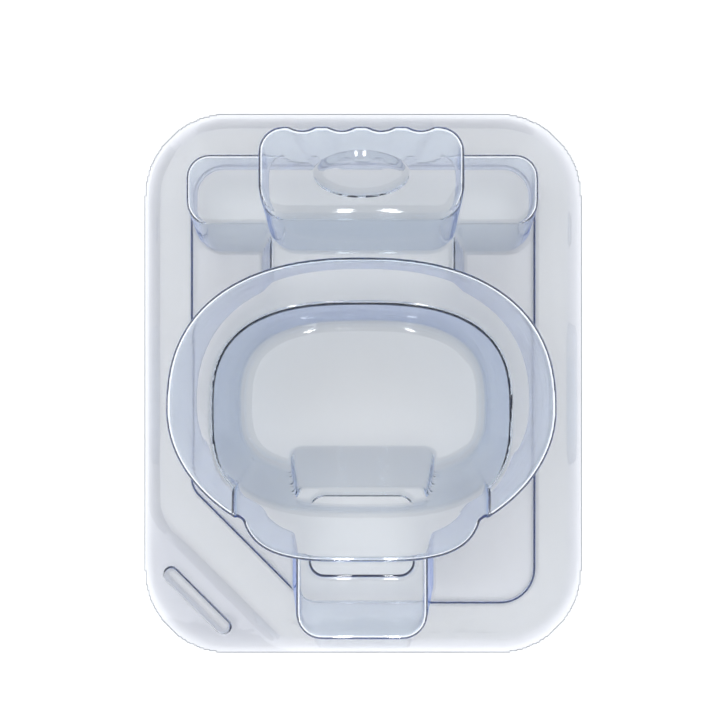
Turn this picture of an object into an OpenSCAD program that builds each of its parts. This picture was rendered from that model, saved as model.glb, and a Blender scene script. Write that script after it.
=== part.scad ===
// Clear thermoformed blister tray, standing open side down on its sealing flange.
// X runs across the tray, Y along it towards the scalloped block, Z up.
// The origin is the middle of the flange's underside.

/* [Sheet] */
// Thickness of the formed sheet
sheet_t = 0.75; // [0.5:0.05:1]

/* [Outline] */
// Width of the whole tray
tray_w = 140; // [139:1:170]
// Length of the whole tray
tray_l = 173; // [168:1:210]
// Radius of the tray's outer corners
tray_r = 26.5; // [20:0.5:30]
// Width of the level lip along the trimmed edge
lip_w = 1.2; // [0.6:0.1:2]
// Width of the sloping step between the lip and the sealing face
step_w = 3.4; // [2:0.1:5]
// Height of the lip and of the peel corner above the sealing face
step_h = 2; // [1:0.1:2.4]

/* [Deck] */
// Width of the sealing flange, from the tray's edge to the deck
flange_w = 14.75; // [14:0.25:15]
// Length that the flange has beside the deck's two ends
flange_l = 15.85; // [14:0.25:18]
// Height of the deck above the sealing face
deck_h = 2.7; // [2:0.1:4]
// Radius of the deck's corners
deck_r = 11.4; // [8:0.2:13]
// Size of the deck's cut-off corner, along X and Y alike
deck_cut = 37; // [32:1:40]

/* [Peel corner] */
// Width of the flange beside the cut-off corner, square to the diagonal
peel_gap = 13.6; // [12:0.2:15]
// Length of the pressed bar in the peel corner
bar_l = 28; // [16:1:30]
// Width of the pressed bar
bar_w = 4.2; // [3.4:0.1:5]
// Distance from the diagonal step to the middle of the bar
bar_gap = 10.4; // [9:0.2:11]

/* [Ring] */
// Width of the ring's face across the tray
ring_w = 100; // [90:0.5:101]
// Length of the ring's upper half, towards the block
ring_up = 39; // [36:0.5:40]
// Length of the ring's lower half, towards the tab
ring_down = 36.4; // [34:0.2:38]
// Place of the ring's widest line along the tray
ring_y = -6.8; // [-8:0.2:-6]
// Height of the ring's face above the sealing face
ring_h = 39.8; // [36:0.2:44]
// Width of the ring's face
ring_face = 12; // [9:0.5:13]
// How far the ring's wall leans out on its way down
ring_lean = 3.4; // [2:0.1:3.6]

/* [Well] */
// Height of the well's floor above the sealing face
well_floor = 11; // [8:0.5:16]
// Radius between the well's wall and its floor
well_r = 4; // [2.5:0.5:6]
// How far the well's wall leans in on its way down
well_lean = 1.5; // [1:0.25:3]
// How much further the well's front wall leans in, towards the tab
well_front = 7; // [4:0.5:9]

/* [Apron] */
// Width of the lowered part of the ring
apron_w = 64.6; // [58:0.2:68]
// How far the apron stands out past the ring's lower half
apron_out = 3.6; // [2:0.1:4]
// How far the apron's face lies below the ring's
apron_drop = 3.4; // [2:0.2:5]

/* [Block] */
// Width of the block's face
block_w = 52.8; // [46:0.2:56]
// Length of the block's face
block_l = 22.5; // [18:0.5:24]
// Distance from the block's face to the deck's end
block_gap = 4.9; // [4.5:0.1:8]
// Radius of the block's face corners at its scalloped end
block_r = 6.5; // [5:0.25:8]
// Radius of the block's face corners towards the neck
block_near_r = 7; // [5:0.25:9]
// How far the block's near wall leans out towards the ring
block_slope = 5; // [2:0.5:6]
// Distance from one scallop to the next
scallop_pitch = 10.2; // [8:0.2:12]
// Width of the flat crest between two scallops
crest_w = 3.2; // [2:0.2:4]
// Depth of the scallops, crest to trough
scallop_depth = 1; // [0.5:0.1:1.4]
// Width of the shallow oval dimple
dimple_w = 24.4; // [18:0.4:28]
// Length of the dimple
dimple_l = 12; // [8:0.5:13]
// Depth of the dimple
dimple_h = 1.8; // [0.6:0.1:2]

/* [Lugs] */
// Height of the two lugs' faces above the sealing face
lug_h = 21.6; // [16:0.2:26]
// Length of the lugs' faces
lug_l = 19.6; // [16:0.2:21]
// Distance from the lugs' faces to the deck's side
lug_side = 4.6; // [4.4:0.2:8]
// Distance from the lugs' faces to the deck's end
lug_gap = 4.8; // [4.6:0.2:8]
// Radius of the lugs' face corners
lug_r = 6.5; // [5:0.5:7]
// How much further the lugs' near wall leans out, towards the ring
lug_slope = 2.2; // [1:0.2:3]

/* [Neck] */
// Width of the neck's base between the block and the ring
neck_w = 64; // [54:1:70]
// Height of the neck's face above the sealing face
neck_h = 16; // [8:0.5:20]

/* [Tab] */
// Width of the tab's face
tab_w = 35.6; // [30:0.4:40]
// Height of the tab's face above the sealing face
tab_h = 30; // [24:0.5:31]
// How far the tab's sides lean out on their way down
tab_lean = 4.6; // [3:0.2:6]
// Width of the raised pad on the tab
pad_w = 30; // [24:0.5:32]
// How far the raised pad reaches past the apron
pad_out = 6; // [4:0.5:9]
// Height of the raised pad above the tab's face
pad_h = 1.6; // [1:0.1:3]
// Width of the ramp's foot inside the well
ramp_w = 44; // [40:1:48]
// Distance from the well's lower edge to the ramp's foot
ramp_l = 15.5; // [12:0.5:18]

/* [Rounding] */
// Radius of the edges at the top of each raised form
edge_r = 1.5; // [1.2:0.1:1.9]
// Radius at the foot of each raised form
foot_r = 1.1; // [0.8:0.1:1.4]
// Steps in each rounded edge
edge_steps = 3; // [2:1:4]
// Steps in each corner of an outline
corner_steps = 7; // [5:1:9]
// Points round the ring and the well
ring_points = 60; // [48:4:72]

/* [Hidden] */

deck_x = tray_w / 2 - flange_w;
deck_y = tray_l / 2 - flange_l;
// The deck's cut-off corner lies on x + y = -deck_diag, the peel step outside it.
deck_diag = deck_x + deck_y - deck_cut;
seal_diag = deck_diag + peel_gap * sqrt(2);
seal_in = lip_w + step_w;
seal_x = tray_w / 2 - seal_in;
seal_y = tray_l / 2 - seal_in;
// Radii where the diagonals meet the sides, and the bevel along the deck's edge
cut_r = 8;
peel_r = 12;
deck_bevel = 0.9;
// Exponents of the ovals' upper and lower halves: 2 is an ellipse, more is squarer
ring_exp_up = 2.35;
ring_exp_down = 2;
well_exp_up = 2.7;
well_exp_down = 2.9;
apron_exp = 3.4;
// How far each wall leans out on its way down
bar_lean = 0.7;
apron_lean = ring_lean - 0.6;
block_lean = 1.8;
lug_lean = 2.5;
neck_lean = 5;
ramp_lean = 9;
ramp_side_lean = 4;
tab_end_lean = 0.6;
dimple_lean = 2.2;
// Share by which the scallops draw together towards the block's foot
scallop_fan = 0.18;
// Corner radii of the small forms: the tab's face, the feet of tab and ramp, the neck
tab_r = 5;
tab_foot_r = 3;
neck_r = 1;
// Bevel on the top edges of the tab, its pad and the ramp
soft_edge = 1;
// Distance from the dimple's rim to the middle of the block's end wall
dimple_gap = 0.3;
// The ring's parts along Y
well_up = ring_up - ring_face;
well_down = ring_down + apron_out - ring_face;
apron_h = ring_h - apron_drop;
apron_top = ring_y - ring_down * 0.4;
apron_bottom = ring_y - ring_down - apron_out;
ramp_foot = ring_y - well_down + ramp_l;
ramp_top = ramp_foot - ramp_lean;
// The forms along Y above the ring
block_top = deck_y - block_gap;
block_bottom = block_top - block_l;
lug_top = deck_y - lug_gap;
neck_start = ring_y + ring_up - ring_face * 0.6;
// Thickness of the flat layers that a hull is drawn round
film = 0.01;
// A cut runs this far past the face that it opens.
below = 1;

// A point's power with its sign kept
function signed_pow(v, p) = sign(v) * pow(abs(v), p);

// An oval with its own length and exponent above and below its widest line
function oval(half_w, up, down, exp_up, exp_down, mid_y, inset) = [
    for (i = [0 : ring_points - 1])
    let (
        a = 360 * i / ring_points,
        e = 2 / (sin(a) >= 0 ? exp_up : exp_down),
        half_l = (sin(a) >= 0 ? up : down) - inset
    )
    [(half_w - inset) * signed_pow(cos(a), e), mid_y + half_l * signed_pow(sin(a), e)]
];

// Points of one rounded corner
function corner(x, y, r, from, to) = [
    for (i = [0 : corner_steps])
    let (a = from + (to - from) * i / corner_steps)
    [x + r * cos(a), y + r * sin(a)]
];

// A rounded rectangle between four sides
function rounded(x0, x1, y0, y1, r, inset) =
    let (k = max(r - inset, 0.2), m = inset + k)
    concat(
        corner(x1 - m, y1 - m, k, 0, 90),
        corner(x0 + m, y1 - m, k, 90, 180),
        corner(x0 + m, y0 + m, k, 180, 270),
        corner(x1 - m, y0 + m, k, 270, 360)
    );

// A rounded rectangle with one corner cut off along x + y = -diag
function cut_corner(hx, hy, r, diag, cut, inset) =
    let (
        k = r - inset,
        c = cut - inset,
        shift = cut * (sqrt(2) - 1) - diag
    )
    concat(
        corner(hx - r, hy - r, k, 0, 90),
        corner(r - hx, hy - r, k, 90, 180),
        corner(cut - hx, shift + hx, c, 180, 225),
        corner(shift + hy, cut - hy, c, 225, 270),
        corner(hx - r, r - hy, k, 270, 360)
    );

// Depth of the scalloped wall at px: flat on each crest, hollow between two crests
function scallop(px) =
    let (
        d = abs(px - scallop_pitch * round(px / scallop_pitch)),
        flat_part = crest_w / 2
    )
    d < flat_part ? 0 : -scallop_depth * sin(90 * (d - flat_part) / (scallop_pitch / 2 - flat_part));

// The block's outline at a height: the scallops draw together and its near wall leans out towards the foot
function scalloped(inset, z) =
    let (
        low = max(0, min(1, (ring_h - z) / (ring_h - deck_h))),
        x = block_w / 2 - block_r,
        y = block_top - block_r,
        near_x = block_w / 2 - block_near_r,
        near_y = block_bottom + block_near_r - block_slope * low,
        steps = 44
    )
    concat(
        corner(x, y, block_r - inset, 0, 90),
        [
            for (i = [1 : steps - 1])
            let (px = x - 2 * x * i / steps)
            [px, block_top - inset + scallop(px * (1 + scallop_fan * low)) * (1 - low / 2)]
        ],
        corner(-x, y, block_r - inset, 90, 180),
        corner(-near_x, near_y, block_near_r - inset, 180, 270),
        corner(near_x, near_y, block_near_r - inset, 270, 360)
    );

// How far the well reaches down at a height, with its leaning front wall
function well_reach(z) =
    well_down - well_front * max(0, min(1, (ring_h - z) / (ring_h - well_floor)));

// Section of a raised form as pairs of inset and height, for the face that lies skin inside the outside
function raised(foot, top, lean, skin) =
    let (start = skin > 0 ? -below : 0)
    concat(
        [[-lean - foot_r, start]],
        [
            for (i = [0 : edge_steps])
            let (a = 90 * i / edge_steps, r = foot_r + skin)
            [-lean - foot_r + r * sin(a), foot + foot_r - r * cos(a)]
        ],
        [
            for (i = [0 : edge_steps])
            let (a = 90 * i / edge_steps, r = edge_r - skin)
            [edge_r - r * cos(a), top - edge_r + r * sin(a)]
        ]
    );

// Section of a sunk form, from its floor up past its rim
function sunk(floor_z, top, lean, skin) = concat(
    [
        for (i = [0 : edge_steps])
        let (a = 90 * i / edge_steps, r = well_r + skin)
        [lean + well_r - r * sin(a), floor_z + well_r - r * cos(a)]
    ],
    [
        for (i = [0 : edge_steps])
        let (a = 90 * i / edge_steps, r = edge_r - skin)
        [-edge_r + r * cos(a), top - edge_r + r * sin(a)]
    ],
    [[-edge_r, top + below]]
);

// A closed solid through outlines of equal length, from the lowest to the highest
module loft(outlines, heights) {
    n = len(outlines[0]);
    top = len(outlines) - 1;
    points = [for (j = [0 : top]) for (p = outlines[j]) [p[0], p[1], heights[j]]];
    sides = [
        for (j = [0 : top - 1])
        for (i = [0 : n - 1])
        [j * n + i, (j + 1) * n + i, (j + 1) * n + (i + 1) % n, j * n + (i + 1) % n]
    ];
    floor_face = [[for (i = [0 : n - 1]) i]];
    top_face = [[for (i = [n - 1 : -1 : 0]) top * n + i]];
    polyhedron(points, concat(floor_face, sides, top_face), convexity = 10);
}

// The convex body round a few outlines
module boss(outlines, heights) {
    hull() {
        for (j = [0 : len(outlines) - 1]) {
            translate([0, 0, heights[j]])
                linear_extrude(film)
                    polygon(outlines[j]);
        }
    }
}

function heights_of(section) = [for (s = section) s[1]];

// The flat flange, its lip and the peel corner, with the sealing face pressed down inside them
module flange(skin) {
    low = skin > 0 ? -below : 0;
    spare = skin > 0 ? below : 0;
    seal_low = skin > 0 ? -2 * below : sheet_t;
    top = step_h + sheet_t - skin;
    sink = skin * tan(atan(step_h / step_w) / 2);
    edge = rounded(-tray_w / 2, tray_w / 2, -tray_l / 2, tray_l / 2, tray_r, -spare);
    difference() {
        boss([edge, edge], [low, top - film]);
        boss([
            for (out = [0, 0, step_w, step_w])
            cut_corner(seal_x, seal_y, tray_r - seal_in, seal_diag, peel_r, -out - sink)
        ], [seal_low, sheet_t - skin, top, top + below]);
        bar(skin);
    }
}

// The bar pressed into the peel corner, along the diagonal
module bar(skin) {
    mid_x = (seal_y - seal_x - seal_diag) / 2;
    mid_y = -seal_diag - mid_x;
    out = bar_gap / sqrt(2);
    r = bar_w / 2;
    translate([mid_x - out, mid_y - out, 0])
        rotate(-45)
            boss([
                for (inset = [bar_lean, bar_lean, 0])
                rounded(-bar_l / 2, bar_l / 2, -r, r, r, inset - skin)
            ], [skin > 0 ? -2 * below : sheet_t, sheet_t - skin, step_h + sheet_t + below]);
}

// The raised deck inside the flange
module deck(skin) {
    low = skin > 0 ? -below : 0;
    top = deck_h + sheet_t - skin;
    boss([
        for (inset = [0, 0, deck_bevel])
        cut_corner(deck_x, deck_y, deck_r, deck_diag, cut_r, inset + skin)
    ], [low, top - deck_bevel, top - film]);
}

// The tall oval ring with its well, and the apron where it is cut lower
module ring(skin) {
    foot = deck_h + sheet_t;
    section = raised(foot, ring_h, ring_lean, skin);
    hollow = sunk(well_floor, ring_h, well_lean, skin);
    difference() {
        union() {
            difference() {
                loft([for (s = section) oval(ring_w / 2, ring_up, ring_down,
                    ring_exp_up, ring_exp_down, ring_y, s[0])], heights_of(section));
                translate([-apron_w / 2 - skin, apron_bottom - ring_down, apron_h - skin])
                    cube([apron_w + 2 * skin, 2 * ring_down + apron_out, ring_h]);
            }
            apron(skin);
        }
        loft([for (s = hollow) oval(ring_w / 2 - ring_face, well_up, well_reach(s[1]),
            well_exp_up, well_exp_down, ring_y, s[0])], heights_of(hollow));
    }
}

// The lowered front of the ring
module apron(skin) {
    section = raised(deck_h + sheet_t, apron_h, apron_lean, skin);
    half_l = apron_top - apron_bottom;
    loft([for (s = section) oval(apron_w / 2, half_l / 2, half_l,
        apron_exp, apron_exp, apron_top, s[0])], heights_of(section));
}

// The block with its scalloped end and oval dimple
module block(skin) {
    section = raised(deck_h + sheet_t, ring_h, block_lean, skin);
    difference() {
        loft([for (s = section) scalloped(s[0], s[1])], heights_of(section));
        dimple(skin);
    }
}

// The shallow dimple in the block's face
module dimple(skin) {
    mid_y = block_top - dimple_l - dimple_gap;
    boss([
        for (inset = [dimple_lean, 0])
        oval(dimple_w / 2, dimple_l / 2, dimple_l / 2, 2, 2, mid_y, inset - skin)
    ], [ring_h - dimple_h - skin, ring_h]);
}

// The two low lugs, one body that passes under the block
module lugs(skin) {
    section = raised(deck_h + sheet_t, lug_h, lug_lean, skin);
    x = deck_x - lug_side;
    near_y = lug_top - lug_l - lug_slope;
    rise = lug_slope / (lug_h - deck_h);
    loft([
        for (s = section)
        rounded(-x, x, near_y + rise * max(0, s[1] - deck_h), lug_top, lug_r, s[0])
    ], heights_of(section));
}

// The neck that joins the block to the ring
module neck(skin) {
    x = neck_w / 2 - skin;
    low = skin > 0 ? -below : 0;
    end = block_bottom + block_near_r;
    boss([
        for (lean = [0, 0, neck_lean, neck_lean + edge_r])
        rounded(lean - x, x - lean, neck_start, end, neck_r, 0)
    ], [low, deck_h, neck_h - edge_r, neck_h - skin]);
}

// The finger tab below the ring, with its raised pad
module tab(skin) {
    low = skin > 0 ? -below : 0;
    x = tab_w / 2 + tab_lean - skin;
    end = skin - deck_y;
    far = ramp_top - skin;
    face_x = x - tab_lean;
    face_end = end + tab_end_lean;
    boss([
        rounded(-x, x, end, far, tab_foot_r, 0),
        rounded(-x, x, end, far, tab_foot_r, 0),
        rounded(-face_x, face_x, face_end, far, tab_r, 0),
        rounded(-face_x, face_x, face_end, far, tab_r, soft_edge)
    ], [low, deck_h, tab_h - edge_r, tab_h - skin]);
    boss([
        for (inset = [0, soft_edge])
        rounded(-pad_w / 2, pad_w / 2, apron_bottom - pad_out, far, tab_r, skin + inset)
    ], [tab_h - edge_r, tab_h + pad_h - skin]);
}

// The ramp that rises from the well's floor to the tab's level
module ramp(skin) {
    x = ramp_w / 2 - skin;
    face_x = x - ramp_side_lean;
    back = apron_bottom + ring_face / 2;
    boss([
        rounded(-x, x, back, ramp_foot - skin, tab_foot_r, 0),
        rounded(-face_x, face_x, back, ramp_top - skin, tab_foot_r, 0),
        rounded(-face_x, face_x, back, ramp_top - skin, tab_foot_r, soft_edge)
    ], [well_floor - well_r, tab_h - edge_r, tab_h - skin]);
}

// One face of the formed sheet: the outside with skin 0, the inside with skin sheet_t
module mould(skin) {
    flange(skin);
    deck(skin);
    ring(skin);
    block(skin);
    lugs(skin);
    neck(skin);
    tab(skin);
    ramp(skin);
}

// The whole tray, one sheet between its outside and its inside
module tray() {
    color([0.78, 0.84, 0.92, 0.6])
        difference() {
            mould(0);
            mould(sheet_t);
        }
}

tray();
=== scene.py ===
"""A clear thermoformed blister tray, standing open side down on a pale table, seen from close above."""
import math

import bpy
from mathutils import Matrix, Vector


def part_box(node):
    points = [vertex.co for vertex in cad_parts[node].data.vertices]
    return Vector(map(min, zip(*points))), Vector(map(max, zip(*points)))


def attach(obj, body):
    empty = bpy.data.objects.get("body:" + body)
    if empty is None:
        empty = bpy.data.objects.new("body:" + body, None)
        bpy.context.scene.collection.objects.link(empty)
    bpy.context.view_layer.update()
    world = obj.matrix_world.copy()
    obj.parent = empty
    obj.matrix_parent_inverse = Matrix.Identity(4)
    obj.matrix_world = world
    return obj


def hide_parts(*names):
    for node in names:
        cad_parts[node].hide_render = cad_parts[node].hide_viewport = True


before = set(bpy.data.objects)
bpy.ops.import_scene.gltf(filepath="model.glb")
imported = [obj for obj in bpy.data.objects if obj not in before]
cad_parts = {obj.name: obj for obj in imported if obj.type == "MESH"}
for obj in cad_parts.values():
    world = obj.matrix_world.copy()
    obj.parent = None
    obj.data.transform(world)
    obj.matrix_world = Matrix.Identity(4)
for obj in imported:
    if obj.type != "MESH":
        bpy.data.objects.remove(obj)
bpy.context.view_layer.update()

(left, front, _), (right, back, ring_top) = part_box("tray")

# The flange and the deck: the sheet's low parts, left flat round the raised forms, with a step up to
# a level lip along the trimmed edge. Clear film, pressed into a mould. All forms are modelled in
# millimetres as one mould, and the sheet is drawn over it at the end.
tray_w = (right - left) * 1000
tray_l = (back - front) * 1000
ring_h = ring_top * 1000
sheet_t = 0.75
tray_r = 26.5
lip_w = 1.2
step_w = 3.4
step_h = 2
flange_side = 14.75
flange_end = 15.85
deck_x = tray_w / 2 - flange_side
deck_y = tray_l / 2 - flange_end
deck_h = 2.7 + sheet_t
deck_r = 11.4
deck_lean = 0.5
deck_grow = 0.3
deck_edge_r = 0.8
deck_cut = 37
deck_cut_r = 8
deck_diag = deck_x + deck_y - deck_cut
peel_gap = 13.6
peel_cut_r = 12
seal_diag = deck_diag + peel_gap * math.sqrt(2)
seal_x = tray_w / 2 - lip_w - step_w
seal_y = tray_l / 2 - lip_w - step_w
seal_r = tray_r - lip_w - step_w
mould_base = -6
mould_spare = 8
cut_base = -2


def corner(x, y, r, start, end):
    """Points of one rounded corner, from one angle to another."""
    steps = 9
    turn = [math.radians(start + (end - start) * i / steps) for i in range(steps + 1)]
    return [(x + r * math.cos(a), y + r * math.sin(a)) for a in turn]


def rounded(x0, x1, y0, y1, r, grow=0.0):
    """A rounded rectangle, grown by a margin all round."""
    k = r + grow
    return (corner(x1 - r, y1 - r, k, 0, 90) + corner(x0 + r, y1 - r, k, 90, 180)
            + corner(x0 + r, y0 + r, k, 180, 270) + corner(x1 - r, y0 + r, k, 270, 360))


def cut_corner(hx, hy, r, diag, cut_r, grow):
    """A rounded rectangle whose lower left corner is cut off along x + y = -diag, grown all round."""
    shift = cut_r * (math.sqrt(2) - 1) - diag
    return (corner(hx - r, hy - r, r + grow, 0, 90) + corner(r - hx, hy - r, r + grow, 90, 180)
            + corner(cut_r - hx, shift + hx, cut_r + grow, 180, 225)
            + corner(shift + hy, cut_r - hy, cut_r + grow, 225, 270)
            + corner(hx - r, r - hy, r + grow, 270, 360))


def form(name, outline, start, foot, end, lean=0.0, foot_r=0.0, end_r=0.0, rises=1):
    """A form with this outline at its foot. It runs straight from start to foot, then narrows by lean
    on its way to end, in equal rises, with a hollow curve at its foot and a rounded edge at its end."""
    way = 1 if end > foot else -1
    bpy.ops.object.select_all(action="DESELECT")
    bpy.ops.mesh.primitive_circle_add(vertices=len(outline), radius=1, fill_type="NGON")
    piece = bpy.context.object
    piece.name = name
    for vertex, (x, y) in zip(piece.data.vertices, outline):
        vertex.co = (x, y, start)
    piece.data.update()
    bpy.ops.object.mode_set(mode="EDIT")
    bpy.ops.mesh.select_all(action="SELECT")
    if piece.data.polygons[0].normal.z * way < 0:
        bpy.ops.mesh.flip_normals()
    bpy.ops.mesh.extrude_region_move(TRANSFORM_OT_translate={"value": (0, 0, foot - start)})
    steps = 4
    for i in range(steps if foot_r else 0):
        a, b = math.pi / 2 * i / steps, math.pi / 2 * (i + 1) / steps
        bpy.ops.mesh.inset(thickness=foot_r * (math.sin(b) - math.sin(a)),
                           depth=foot_r * (math.cos(a) - math.cos(b)))
    height = abs(end - foot) - foot_r
    for _ in range(rises):
        if lean:
            bpy.ops.mesh.inset(thickness=lean / rises, depth=height / rises)
        else:
            bpy.ops.mesh.extrude_region_move(TRANSFORM_OT_translate={"value": (0, 0, way * height / rises)})
    if end_r:
        bpy.ops.mesh.region_to_loop()
        bpy.ops.mesh.bevel(offset=end_r, segments=5, affect="EDGES")
    bpy.ops.mesh.select_all(action="SELECT")
    bpy.ops.mesh.normals_make_consistent(inside=False)
    bpy.ops.object.mode_set(mode="OBJECT")
    return piece


def apply_modifier(piece, kind, **settings):
    """Adds one modifier to a piece, sets it and applies it."""
    bpy.ops.object.select_all(action="DESELECT")
    piece.select_set(True)
    bpy.context.view_layer.objects.active = piece
    modifier = piece.modifiers.new(kind.lower(), kind)
    for key, value in settings.items():
        setattr(modifier, key, value)
    bpy.ops.object.modifier_apply(modifier=modifier.name)


def carve(piece, tool, operation="DIFFERENCE"):
    """Cuts the tool's form out of a piece, or a piece down to it, and clears the tool away."""
    apply_modifier(piece, "BOOLEAN", operation=operation, object=tool, solver="EXACT")
    bpy.data.objects.remove(tool)


tray_outline = (-tray_w / 2, tray_w / 2, -tray_l / 2, tray_l / 2, tray_r)
slab = form("slab", rounded(*tray_outline, mould_spare), mould_base, 0, step_h + sheet_t)
carve(slab, form("seal_recess", cut_corner(seal_x, seal_y, seal_r, seal_diag, peel_cut_r, step_w),
                 step_h + mould_spare, step_h + sheet_t, sheet_t, lean=step_w))
deck = form("deck", cut_corner(deck_x, deck_y, deck_r, deck_diag, deck_cut_r, deck_grow),
            mould_base, sheet_t, deck_h, lean=deck_lean, end_r=deck_edge_r)

# The pressed bar in the peel corner: a short narrow groove in the sheet, with sloping sides. The
# mould presses it down from the lip's level, and it keeps the loose corner off the lid.
bar_l = 28
bar_w = 4.2
bar_gap = 10.4
bar_end_r = bar_w / 2 - 0.05
bar_lean = 0.7
bar_floor = sheet_t + 0.05
bar_out = bar_gap / math.sqrt(2)
bar_x = (seal_y - seal_x - seal_diag) / 2
bar_y = -seal_diag - bar_x
bar_outline = [
    (bar_x - bar_out + (x + y) * math.sqrt(0.5), bar_y - bar_out + (y - x) * math.sqrt(0.5))
    for x, y in rounded(-bar_l / 2, bar_l / 2, -bar_w / 2, bar_w / 2, bar_end_r)
]
carve(slab, form("bar", bar_outline, step_h + mould_spare, step_h + sheet_t, bar_floor, lean=bar_lean))

# The ring: a tall hollow oval of the same film, drawn deep, that holds the coiled device from below,
# with a well in its middle. Its front is lower, and the apron there is a rounded box of its own.
ring_w = 100
ring_up = 39
ring_down = 36.4
ring_y = -6.8
ring_exp_up = 2.35
ring_exp_down = 2
ring_face = 12
ring_lean = 3.4
edge_r = 1.5
foot_r = 1
well_floor = 11
well_r = 4
well_lean = 1.5
well_front = 7
well_exp_up = 2.7
well_exp_down = 2.9
mouth_r = 2.2
front_y = ring_y - 15
front_r = 1
apron_w = 64.6
apron_out = 3.6
apron_h = ring_h - 3.4
apron_exp = 3.4
apron_lean = ring_lean - 0.6
apron_top = ring_y - ring_down * 0.4
apron_bottom = ring_y - ring_down - apron_out
well_up = ring_up - ring_face
well_down = ring_down + apron_out - ring_face


def oval(half_w, up, down, exp_up, exp_down, mid_y):
    """An oval with its own length and exponent above and below its widest line."""
    points = 168
    outline = []
    for i in range(points):
        a = 2 * math.pi * i / points
        power, reach = (2 / exp_up, up) if math.sin(a) >= 0 else (2 / exp_down, down)
        x = half_w * math.copysign(abs(math.cos(a)) ** power, math.cos(a))
        y = reach * math.copysign(abs(math.sin(a)) ** power, math.sin(a))
        outline.append((x, mid_y + y))
    return outline


def share_below(z, top, bottom):
    """How far a height lies on the way from the top down to the bottom, from 0 to 1."""
    return max(0.0, min(1.0, (top - z) / (top - bottom)))


def well(top, rim_r):
    """The well's hollow, from above a face down to its floor. Its front wall leans in."""
    outline = oval(ring_w / 2 - ring_face + rim_r, well_up + rim_r, well_down + rim_r,
                   well_exp_up, well_exp_down, ring_y)
    hollow = form("well", outline, ring_h + mould_spare, top, well_floor,
                  lean=well_lean, foot_r=rim_r, end_r=well_r)
    for vertex in hollow.data.vertices:
        if vertex.co.y < ring_y:
            reach = 1 - share_below(vertex.co.z, ring_h, well_floor) * well_front / well_down
            vertex.co.y = ring_y + (vertex.co.y - ring_y) * reach
    return hollow


base = ring_lean + foot_r
ring = form("ring", oval(ring_w / 2 + base, ring_up + base, ring_down + base,
                         ring_exp_up, ring_exp_down, ring_y),
            mould_base, deck_h, ring_h, lean=ring_lean, foot_r=foot_r, end_r=edge_r)
front_outline = rounded(-apron_w / 2, apron_w / 2, -tray_l / 2, front_y, front_r)
carve(ring, form("ring_cut", front_outline, ring_h + mould_spare, ring_h, apron_h))
carve(ring, well(ring_h, edge_r))
front_well = well(apron_h, mouth_r)
carve(front_well, form("front", front_outline, cut_base, 0, ring_h + mould_spare), "INTERSECT")
carve(ring, front_well)
base = apron_lean + foot_r
apron_l = apron_top - apron_bottom
apron = form("apron", oval(apron_w / 2 + base, apron_l / 2, apron_l + base, apron_exp, apron_exp, apron_top),
             mould_base, deck_h, apron_h, lean=apron_lean, foot_r=foot_r, end_r=edge_r)
carve(apron, well(apron_h, mouth_r))

# The block: the tall box at the back, of the same film, that holds the device's large end. Its end
# wall is formed in scallops that stiffen it, and its face has a shallow oval dimple.
block_w = 52.8
block_gap = 4.9
block_l = 22.5
block_top = deck_y - block_gap
block_bottom = block_top - block_l
block_r = 6.5
near_r = 7
block_lean = 1.8
block_slope = 5
near_round = 4.5
scallop_pitch = 10.2
scallop_depth = 1
scallop_fan = 0.18
crest_w = 3.2
dimple_x = 12.2
dimple_y = 6
dimple_in = 12.3
dimple_depth = 1.8
dimple_lean = 2
dimple_r = 1
block_x = block_w / 2
scallop_x = block_x - block_r
side_steps = 88
far_y = block_top + block_lean
far_side = [(scallop_x - 2 * scallop_x * i / side_steps, far_y) for i in range(1, side_steps)]
block_outline = (corner(scallop_x, block_top - block_r, block_r + block_lean, 0, 90) + far_side
                 + corner(-scallop_x, block_top - block_r, block_r + block_lean, 90, 180)
                 + corner(near_r - block_x, block_bottom + near_r, near_r + block_lean, 180, 270)
                 + corner(block_x - near_r, block_bottom + near_r, near_r + block_lean, 270, 360))
block = form("block", block_outline, mould_base, deck_h, ring_h, lean=block_lean, end_r=edge_r, rises=18)
for vertex in block.data.vertices:
    low = share_below(vertex.co.z, ring_h, deck_h)
    if vertex.co.y < block_bottom + near_r:
        turn = max(0, vertex.co.z - ring_h + near_round) / near_round
        vertex.co.y += near_round * (1 - math.sqrt(1 - turn ** 2)) - block_slope * low
    elif vertex.co.y > block_top - edge_r - 0.1 and abs(vertex.co.x) < scallop_x:
        across = vertex.co.x * (1 + scallop_fan * low)
        off = abs(across - scallop_pitch * round(across / scallop_pitch)) - crest_w / 2
        hollow = math.sin(math.pi / 2 * max(0, off) / (scallop_pitch / 2 - crest_w / 2))
        vertex.co.y -= scallop_depth * hollow * (1 - low / 2)
carve(block, form("dimple", oval(dimple_x, dimple_y, dimple_y, 2, 2, block_top - dimple_in),
                  ring_h + mould_spare, ring_h, ring_h - dimple_depth, lean=dimple_lean, end_r=dimple_r))

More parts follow.
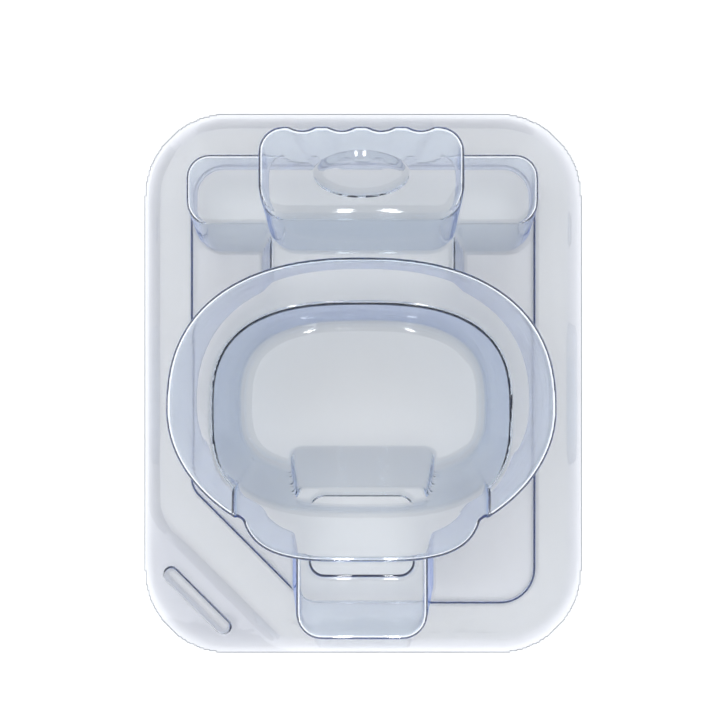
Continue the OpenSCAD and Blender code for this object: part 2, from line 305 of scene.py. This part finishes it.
# The lugs and the neck: low forms beside the block, and the bridge from the block to the ring, of the
# same film. The lugs are one long body that passes under the block, and their near wall leans out.
lug_h = 21.6
lug_lean = 2.5
lug_slope = 2.2
lug_side = 4.6
lug_gap = 4.8
lug_l = 19.6
lug_r = 6.5
lug_x = deck_x - lug_side
lug_top = deck_y - lug_gap
lug_bottom = lug_top - lug_l
neck_x = 32
neck_h = 16
neck_lean = 5
neck_r = 7
neck_front = ring_y + ring_up - ring_face * 0.6
lugs = form("lugs", rounded(-lug_x, lug_x, lug_bottom, lug_top, lug_r, lug_lean + foot_r),
            mould_base, deck_h, lug_h, lean=lug_lean, foot_r=foot_r, end_r=edge_r)
for vertex in lugs.data.vertices:
    if vertex.co.y < lug_bottom + lug_r:
        vertex.co.y -= lug_slope * share_below(vertex.co.z, lug_h, deck_h)
neck = form("neck", rounded(-neck_x - foot_r, neck_x + foot_r, neck_front,
                            block_bottom + near_r + neck_lean, neck_r),
            mould_base, deck_h, neck_h, lean=neck_lean, foot_r=foot_r, end_r=edge_r)

# The finger tab: a long drafted box of the same film at the front, with a raised pad. A ramp takes
# its level on into the well and ends there in a slope.
tab_x = 17.8
tab_h = 30
tab_lean = 4.6
tab_end_lean = -0.6
tab_r = 7
pad_x = 15
pad_h = tab_h + 1.6
pad_out = 6
pad_r = 5
pad_lean = 0.8
pad_sunk = 4
ramp_x = 22
ramp_r = 3
ramp_in = 15.5
ramp_run = 9
ramp_lean = 4
ramp_edge_r = edge_r * 0.6
ramp_sunk = 5
ramp_foot = ring_y - well_down + ramp_in
ramp_top = ramp_foot - ramp_run


def slope_sides(piece, low, high, lean_x, lean_y):
    """Slides the points above low inwards, by up to lean_x at the sides and lean_y at the ends."""
    mid = sum(v.co.y for v in piece.data.vertices) / len(piece.data.vertices)
    for v in piece.data.vertices:
        share = max(0.0, (v.co.z - low) / (high - low))
        v.co.x -= math.copysign(lean_x * share, v.co.x)
        v.co.y -= lean_y[0] * share if v.co.y < mid else lean_y[1] * share


tab = form("tab", rounded(-tab_x - tab_lean, tab_x + tab_lean, -deck_y, ramp_top, tab_r),
           mould_base, deck_h, tab_h, end_r=edge_r)
slope_sides(tab, deck_h, tab_h, tab_lean, (tab_end_lean, 0))
pad = form("pad", rounded(-pad_x, pad_x, apron_bottom - pad_out, ramp_top - 1, pad_r),
           tab_h - pad_sunk, tab_h, pad_h, lean=pad_lean)
ramp = form("ramp", rounded(-ramp_x, ramp_x, apron_bottom + ring_face / 2, ramp_foot, ramp_r),
            well_floor - ramp_sunk, well_floor, tab_h, end_r=ramp_edge_r)
slope_sides(ramp, well_floor, tab_h, ramp_lean, (0, ramp_run))

# The sheet: clear film, heated and drawn over the mould, so that every edge is soft, then trimmed.
# The mould's forms become one skin, which is cut to the tray's outline and given its thickness.
voxel = 0.45
smooth_steps = 3
triangles = 96000
skin_foot = -1.5
smooth_angle = math.radians(50)
bpy.ops.object.select_all(action="DESELECT")
for piece in (slab, deck, ring, apron, block, lugs, neck, tab, pad, ramp):
    piece.select_set(True)
bpy.context.view_layer.objects.active = slab
bpy.ops.object.join()
sheet = bpy.context.object
sheet.name = "formed_sheet"
apply_modifier(sheet, "REMESH", mode="VOXEL", voxel_size=voxel)
apply_modifier(sheet, "SMOOTH", factor=0.5, iterations=smooth_steps)
carve(sheet, form("trim", rounded(*tray_outline), cut_base, 0, ring_h + 5), "INTERSECT")
for vertex in sheet.data.vertices:
    vertex.select = vertex.co.z < skin_foot
bpy.ops.object.mode_set(mode="EDIT")
bpy.ops.mesh.select_mode(type="VERT")
bpy.ops.mesh.delete(type="VERT")
bpy.ops.object.mode_set(mode="OBJECT")
count = sum(len(p.vertices) - 2 for p in sheet.data.polygons)
apply_modifier(sheet, "DECIMATE", ratio=min(1.0, triangles / count))
clear_sheet = bpy.data.materials.new("clear_sheet")
# The second material paints the trimmed edge an opaque dark grey: painted shade for the dark outline the
# clear edge shows.
shaded_cut_edge = bpy.data.materials.new("shaded_cut_edge")
sheet.data.materials.clear()
sheet.data.materials.append(clear_sheet)
sheet.data.materials.append(shaded_cut_edge)
apply_modifier(sheet, "SOLIDIFY", thickness=sheet_t, offset=-1, use_rim=True, material_offset_rim=1)
sheet.scale = (0.001, 0.001, 0.001)
bpy.ops.object.transform_apply(location=True, rotation=True, scale=True)
bpy.ops.object.shade_smooth_by_angle(angle=smooth_angle)

# The sheet's surface: clear, faintly blue film with a slight haze and ripple from the forming. Painted shade
# makes it bluer on steep walls and a little darker near the lip's height, a blue sheen layer paints a glow
# on slanted walls and edges, and its trimmed edge is painted an opaque dark grey that stands in for the
# edge's dark outline.
clear_sheet.use_nodes = True
nodes, links = clear_sheet.node_tree.nodes, clear_sheet.node_tree.links
plastic = nodes["Principled BSDF"]


def set_inputs(node, values):
    """Sets inputs of a node by their names."""
    for name, value in values.items():
        node.inputs[name].default_value = value


# The blue sheen layer paints a blue glow on walls and edges seen at a slant. This is a painted reflection,
# not a property of clear film.
set_inputs(plastic, {"Transmission Weight": 1.0, "IOR": 1.57, "Sheen Weight": 0.5,
                     "Sheen Roughness": 0.35, "Sheen Tint": (0.2, 0.36, 1.0, 1)})
place = nodes.new("ShaderNodeTexCoord")
haze = nodes.new("ShaderNodeTexNoise")
set_inputs(haze, {"Scale": 35, "Detail": 3})
haze_range = nodes.new("ShaderNodeMapRange")
set_inputs(haze_range, {"From Min": 0.35, "From Max": 0.65, "To Min": 0.015, "To Max": 0.05})
ripple = nodes.new("ShaderNodeTexNoise")
set_inputs(ripple, {"Scale": 90, "Detail": 2})
bump = nodes.new("ShaderNodeBump")
set_inputs(bump, {"Strength": 0.12, "Distance": 0.0004})
links.new(place.outputs["Object"], haze.inputs["Vector"])
links.new(haze.outputs["Fac"], haze_range.inputs["Value"])
links.new(haze_range.outputs["Result"], plastic.inputs["Roughness"])
links.new(place.outputs["Object"], ripple.inputs["Vector"])
links.new(ripple.outputs["Fac"], bump.inputs["Height"])
links.new(bump.outputs["Normal"], plastic.inputs["Normal"])
# Painted shade: the base colour turns bluer on steep walls and lighter on flats, set by the surface's slope,
# standing in for the deeper tint that walls show when seen at a slant.
facing = nodes.new("ShaderNodeSeparateXYZ")
level = nodes.new("ShaderNodeMath")
level.operation = "ABSOLUTE"
painted_wall_shade = nodes.new("ShaderNodeValToRGB")
shaded_steep_end, level_end = painted_wall_shade.color_ramp.elements
shaded_steep_end.position = 0.08
shaded_steep_end.color = (0.91, 0.96, 1.0, 1)
level_end.position = 0.5
level_end.color = (1.0, 0.995, 0.985, 1)
links.new(place.outputs["Normal"], facing.inputs["Vector"])
links.new(facing.outputs["Z"], level.inputs[0])
links.new(level.outputs["Value"], painted_wall_shade.inputs["Fac"])
# Painted shade: every surface at heights from about 1 to 3.4 mm, where the lip and its step lie, is darkened
# a little, standing in for the shade on the rim.
spot = nodes.new("ShaderNodeSeparateXYZ")
spot_height = nodes.new("ShaderNodeMapRange")
set_inputs(spot_height, {"From Max": 0.01})
painted_lip_shade = nodes.new("ShaderNodeValToRGB")
for position, shade in ((0.09, 1.0), (0.13, 0.95), (0.30, 0.95), (0.34, 1.0)):
    stop = painted_lip_shade.color_ramp.elements.new(position)
    stop.color = (shade, shade, shade * 0.5 + 0.5, 1)
painted_lip_shade.color_ramp.elements[0].color = (1, 1, 1, 1)
both = nodes.new("ShaderNodeMix")
both.data_type = "RGBA"
both.blend_type = "MULTIPLY"
set_inputs(both, {"Factor": 1.0})
links.new(place.outputs["Object"], spot.inputs["Vector"])
links.new(spot.outputs["Z"], spot_height.inputs["Value"])
links.new(spot_height.outputs["Result"], painted_lip_shade.inputs["Fac"])
links.new(painted_wall_shade.outputs["Color"], both.inputs["A"])
links.new(painted_lip_shade.outputs["Color"], both.inputs["B"])
links.new(both.outputs["Result"], plastic.inputs["Base Color"])
tint = nodes.new("ShaderNodeVolumeAbsorption")
set_inputs(tint, {"Color": (0.15, 0.45, 0.9, 1), "Density": 60})
links.new(tint.outputs["Volume"], nodes["Material Output"].inputs["Volume"])
# Painted shade: the trimmed edge is an opaque dark grey that stands in for the dark outline of the clear cut
# edge.
shaded_cut_edge.use_nodes = True
painted_edge_shade = shaded_cut_edge.node_tree.nodes["Principled BSDF"]
set_inputs(painted_edge_shade, {"Base Color": (0.30, 0.33, 0.38, 1), "Roughness": 0.6})
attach(sheet, "root")
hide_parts("tray")

# The table: a plain white surface under the tray, such as a sheet of paper laid flat. It isn't part
# of the tray, and it reaches past the view on every side.
bpy.ops.object.select_all(action="DESELECT")
bpy.ops.mesh.primitive_plane_add(size=6, location=(0, 0, -0.0002))
floor = bpy.context.object
floor.name = "table_top"
white = bpy.data.materials.new("white_table")
white.use_nodes = True
paper = white.node_tree.nodes["Principled BSDF"]
set_inputs(paper, {"Base Color": (0.9, 0.9, 0.9, 1), "Roughness": 0.6})
floor.data.materials.append(white)


# The lamps: one wide soft panel above the tray and to its left, and two narrow strips in front of it,
# which put small bright marks on the rounded edges. Most of the light comes from the pale room.
def lamp(name, place, aim, width, length, power):
    """A soft rectangular lamp that faces a point."""
    data = bpy.data.lights.new(name, "AREA")
    data.shape = "RECTANGLE"
    data.size = width
    data.size_y = length
    data.energy = power
    thing = bpy.data.objects.new(name, data)
    bpy.context.collection.objects.link(thing)
    thing.location = place
    way = [a - b for a, b in zip(aim, place)]
    flat = math.hypot(way[0], way[1])
    thing.rotation_euler = (math.atan2(flat, -way[2]), 0, math.atan2(way[1], way[0]) - math.pi / 2)


lamp("top_soft", (-0.3, 0.1, 1.0), (-0.3, 0.1, 0), 1.2, 1.4, 5)
lamp("strip_a", (-0.055, -0.9, 0.5), (0, 0, 0.02), 0.03, 0.5, 1)
lamp("strip_b", (0.055, -0.9, 0.5), (0, 0, 0.02), 0.03, 0.5, 1)
world = bpy.data.worlds.new("room")
world.use_nodes = True
set_inputs(world.node_tree.nodes["Background"], {"Color": (0.96, 0.98, 1.0, 1), "Strength": 1.05})
bpy.context.scene.world = world

# The camera: close above the tray, looking straight down, as the photo was taken. Its picture is
# shifted a little, so that the tray sits where it does in the photo.
camera_data = bpy.data.cameras.new("camera")
camera_data.lens = 28
camera_data.sensor_width = 36
camera_data.shift_x = -0.0139
camera_data.shift_y = 0.0319
camera_data.clip_start = 0.01
camera = bpy.data.objects.new("camera", camera_data)
camera.location = (0.0022, 0.0001, 0.182)
bpy.context.collection.objects.link(camera)
bpy.context.scene.camera = camera
bpy.context.scene.view_settings.view_transform = "Standard"
